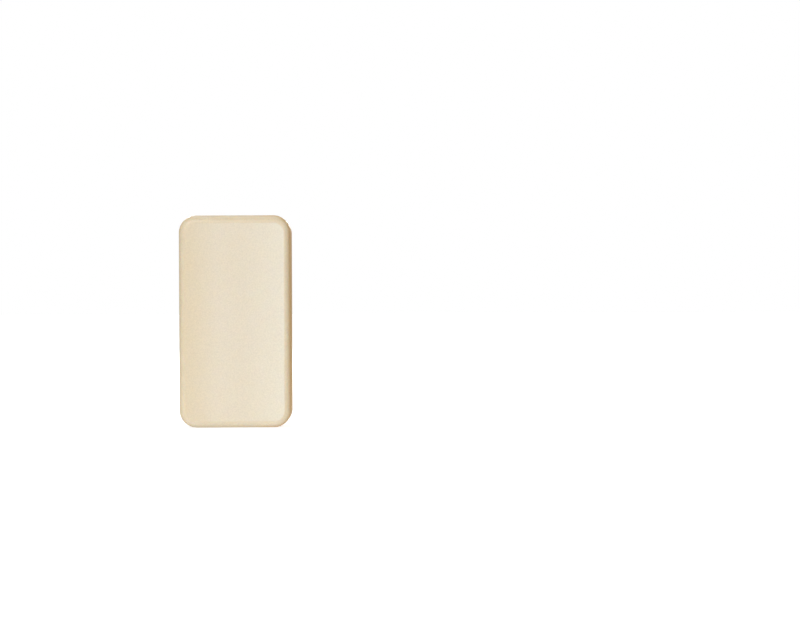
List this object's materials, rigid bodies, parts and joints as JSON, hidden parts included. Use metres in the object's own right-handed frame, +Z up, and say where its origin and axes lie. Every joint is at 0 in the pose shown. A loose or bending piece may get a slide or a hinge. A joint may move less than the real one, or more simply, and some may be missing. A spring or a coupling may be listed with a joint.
{
  "type": "domino tile",
  "caption": "Ivory plastic domino tile with rounded edges, a plain back, and a face with a black enamelled divider groove and grids of sunk black pips.",
  "frame": {"origin": "middle of the bottom short end, which the tile stands on", "axes": "+Z up the tile's length, +Y out of the numbered face, -Y out of the plain back, +X across the width"},
  "size_m": [0.0252, 0.0094, 0.048],
  "materials": {
    "ivory_plastic": "moulded ivory plastic, satin gloss from tumbling, faintly mottled",
    "black_enamel": "glossy black enamel paint, cured in its recess"
  },
  "bodies": {
    "root": {"tile_body": "ivory_plastic", "divider_enamel": "black_enamel", "pip_upper_outer_left": "black_enamel", "pip_upper_outer_centre": "black_enamel", "pip_upper_outer_right": "black_enamel", "pip_upper_middle_left": "black_enamel", "pip_upper_middle_centre": "black_enamel", "pip_upper_middle_right": "black_enamel", "pip_upper_inner_left": "black_enamel", "pip_upper_inner_centre": "black_enamel", "pip_upper_inner_right": "black_enamel", "pip_lower_outer_left": "black_enamel", "pip_lower_outer_centre": "black_enamel", "pip_lower_outer_right": "black_enamel", "pip_lower_middle_left": "black_enamel", "pip_lower_middle_centre": "black_enamel", "pip_lower_middle_right": "black_enamel", "pip_lower_inner_left": "black_enamel", "pip_lower_inner_centre": "black_enamel", "pip_lower_inner_right": "black_enamel"}
  },
  "joints": []
}
